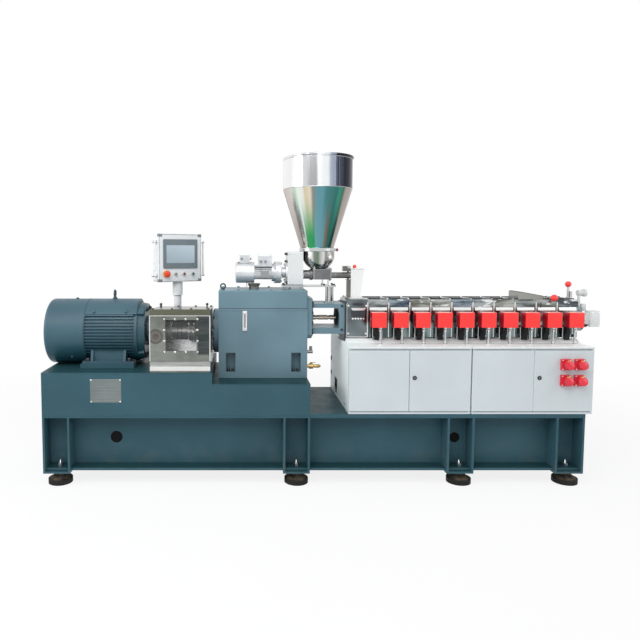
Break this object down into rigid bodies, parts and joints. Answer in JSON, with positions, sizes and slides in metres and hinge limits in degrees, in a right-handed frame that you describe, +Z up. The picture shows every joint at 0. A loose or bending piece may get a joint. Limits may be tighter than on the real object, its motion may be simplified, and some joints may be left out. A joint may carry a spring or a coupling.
{
  "type": "twin-screw plastic extruder",
  "caption": "Parallel twin-screw plastic extruder on a steel frame with motor, gearbox, covered barrel row, cabinets, screw feeder with hopper and operator panel.",
  "frame": {"origin": "centre of the bounding box in plan, at floor level", "axes": "+X along the machine from the drive motor to the die end, -Y the operator's side, +Z up"},
  "size_m": [3.996, 0.8674, 2.326],
  "materials": {
    "black_plastic": "matt",
    "brass": "satin",
    "cabinet_paint": "satin",
    "cast_grey": "matt",
    "clear_glass": "clear",
    "dark_chrome": "polished",
    "dark_teal_paint": "semi-gloss",
    "machined_steel": "satin",
    "polished_steel": "polished",
    "red_enamel": "gloss",
    "red_plastic": "gloss",
    "rubber_black": "matt",
    "screen_plastic": "gloss",
    "silver_paint": "satin",
    "teal_paint": "semi-gloss",
    "white_paint": "gloss"
  },
  "bodies": {
    "machine": {"barrel_bed": "dark_teal_paint", "barrel_covers": "polished_steel", "barrel_sections": "cast_grey", "cabinet_left": "cabinet_paint", "cabinet_right": "cabinet_paint", "coupling_guard": "polished_steel", "cross_plates": "dark_teal_paint", "die_head": "cast_grey", "drain_taps": "brass", "drive_bed": "dark_teal_paint", "feed_barrel": "cast_grey", "feed_bowl": "polished_steel", "feed_cover": "polished_steel", "feeder_gearbox": "white_paint", "feeder_housing": "cast_grey", "feeder_motor": "silver_paint", "feeder_stand": "polished_steel", "feet": "rubber_black", "foot_screws": "machined_steel", "funnel": "polished_steel", "funnel_bracket": "polished_steel", "gearbox_case": "teal_paint", "gearbox_flanges": "teal_paint", "gearbox_lid": "teal_paint", "girder_back": "dark_teal_paint", "girder_front": "dark_teal_paint", "guard_window": "clear_glass", "head_box": "silver_paint", "hopper": "polished_steel", "junction_boxes": "red_enamel", "lantern": "teal_paint", "legs": "dark_teal_paint", "lever_balls": "red_plastic", "lever_rods": "polished_steel", "motor_cowl": "teal_paint", "motor_end_shield": "teal_paint", "motor_frame": "teal_paint", "outlet_tube": "polished_steel", "panel_pole": "white_paint", "pressure_gauge": "polished_steel", "sight_glass": "white_paint", "solenoid_valves": "black_plastic", "top_fittings": "cast_grey", "vent_lid": "polished_steel", "water_tubes": "polished_steel"},
    "door_1": {"door_1": "cabinet_paint"},
    "door_2": {"door_2": "cabinet_paint"},
    "door_3": {"door_3": "cabinet_paint"},
    "door_4": {"door_4": "cabinet_paint", "power_sockets": "red_plastic"},
    "operator_panel": {"panel_box": "white_paint", "panel_screen": "screen_plastic", "panel_handles": "polished_steel", "panel_buttons": "red_plastic"},
    "coupling_rotor": {"drive_coupling": "dark_chrome"},
    "screw_a": {"screw_shaft_a": "machined_steel"},
    "screw_b": {"screw_shaft_b": "machined_steel"}
  },
  "joints": [
    {"name": "door_1_hinge", "type": "hinge", "parent": "machine", "child": "door_1", "pos_m": [0.171, -0.35832, 0.74], "axis": [0, 0, -1], "range_deg": [0, 90]},
    {"name": "door_2_hinge", "type": "hinge", "parent": "machine", "child": "door_2", "pos_m": [0.998, -0.35832, 0.74], "axis": [0, 0, 1], "range_deg": [0, 90]},
    {"name": "door_3_hinge", "type": "hinge", "parent": "machine", "child": "door_3", "pos_m": [1.023, -0.35832, 0.74], "axis": [0, 0, -1], "range_deg": [0, 90]},
    {"name": "door_4_hinge", "type": "hinge", "parent": "machine", "child": "door_4", "pos_m": [1.842, -0.35832, 0.74], "axis": [0, 0, 1], "range_deg": [0, 90]},
    {"name": "panel_swivel", "type": "hinge", "parent": "machine", "child": "operator_panel", "pos_m": [-1.078, 0.23368, 1.3], "axis": [0, 0, 1], "range_deg": [-90, 60]},
    {"name": "coupling_spin", "type": "hinge", "parent": "machine", "child": "coupling_rotor", "pos_m": [-1.033, 0.03368, 1.041], "axis": [1, 0, 0], "continuous": true},
    {"name": "screw_a_spin", "type": "hinge", "parent": "machine", "child": "screw_a", "pos_m": [0.037, 0.01468, 1.14], "axis": [1, 0, 0], "continuous": true},
    {"name": "screw_b_spin", "type": "hinge", "parent": "machine", "child": "screw_b", "pos_m": [0.037, 0.05268, 1.14], "axis": [1, 0, 0], "continuous": true}
  ],
  "couplings": [
    {"joint": "screw_a_spin", "follows": "coupling_spin", "ratio": 0.4},
    {"joint": "screw_b_spin", "follows": "coupling_spin", "ratio": 0.4}
  ]
}
